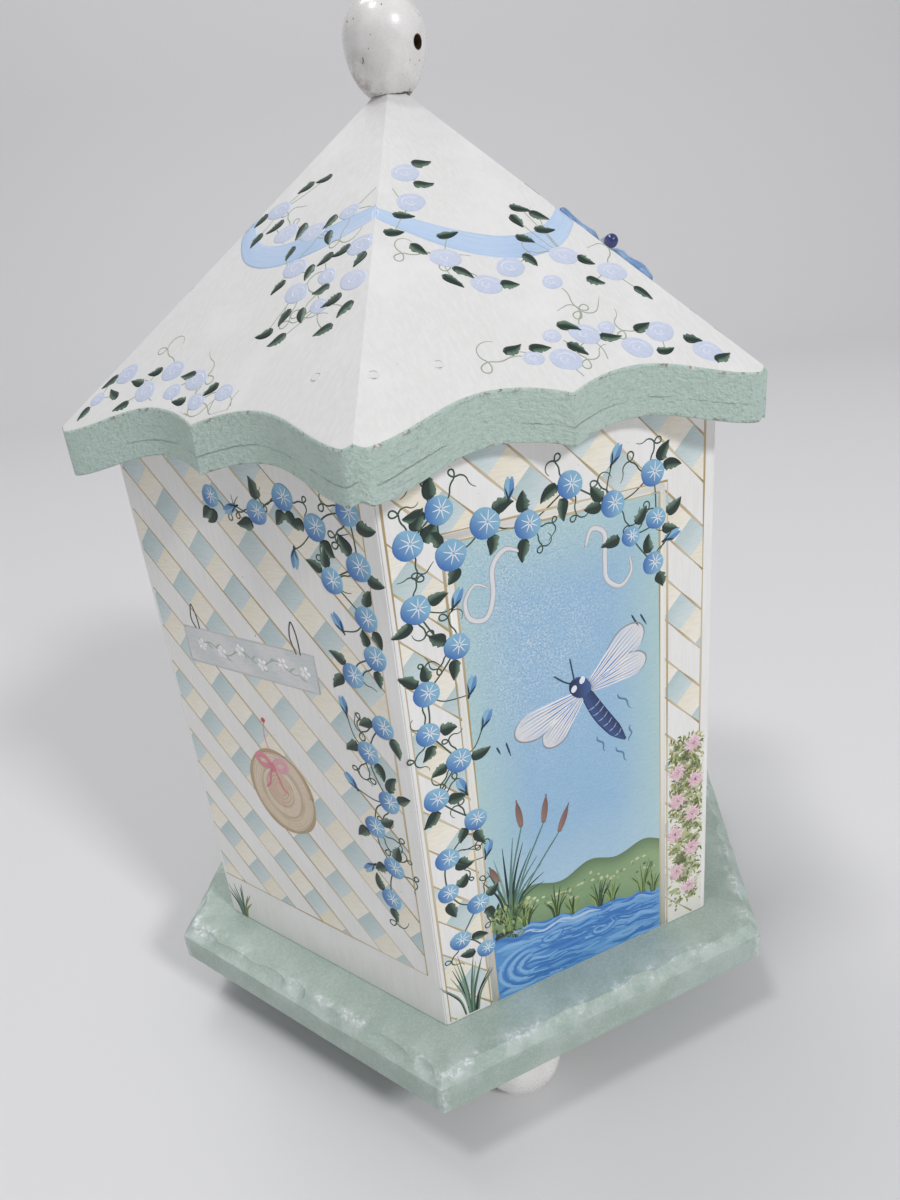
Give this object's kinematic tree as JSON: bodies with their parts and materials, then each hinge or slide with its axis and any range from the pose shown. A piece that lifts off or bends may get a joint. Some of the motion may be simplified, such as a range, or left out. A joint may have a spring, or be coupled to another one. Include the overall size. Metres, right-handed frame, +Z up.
{
  "type": "birdhouse",
  "caption": "Hexagonal gazebo-shaped garden birdhouse with a scalloped pitched roof, egg finial, round entry hole, ball feet and a swivel clean-out cover.",
  "frame": {"origin": "on the floor under the middle of the base, the centre of the four feet", "axes": "+Z up along the body's axis; +X out through the wall with the entry hole; the front corner of the hexagon points along -Y"},
  "size_m": [0.207, 0.239, 0.3304],
  "materials": {
    "white_paint": "satin white paint on wood, with hand-painted lattice, flowers and ribbon",
    "sage_paint": "brushed sage green paint on wood with pearly highlights on the worked edges",
    "raw_wood": "unfinished softwood",
    "zinc_steel": "zinc plated",
    "sky_paint": "light blue gloss paint",
    "navy_paint": "navy gloss paint"
  },
  "bodies": {
    "root": {"base_plate": "sage_paint", "foot_front": "white_paint", "foot_right": "white_paint", "foot_back": "white_paint", "foot_left": "white_paint", "foot_dowels": "raw_wood", "wall_front_left": "white_paint", "wall_front_right": "white_paint", "wall_right": "white_paint", "wall_back_right": "white_paint", "wall_back_left": "white_paint", "wall_left": "white_paint", "wall_screws": "zinc_steel", "cover_pivot_screw": "zinc_steel", "cover_keeper_screw": "zinc_steel", "roof_front_left": "white_paint", "roof_front_right": "white_paint", "roof_right": "white_paint", "roof_back_right": "white_paint", "roof_back_left": "white_paint", "roof_left": "white_paint", "roof_brads": "zinc_steel", "roof_hub": "raw_wood", "finial": "white_paint", "finial_dowel": "raw_wood", "dragonfly_wings_front": "sky_paint", "dragonfly_wings_rear": "sky_paint", "dragonfly_body": "navy_paint", "dragonfly_head": "navy_paint"},
    "cover": {"cleanout_cover": "sage_paint"}
  },
  "joints": [
    {"name": "cover_swing", "type": "hinge", "parent": "root", "child": "cover", "pos_m": [0.00126, 0.03598, 0.0237], "axis": [0, 0, 1], "range_deg": [0, 120]}
  ]
}
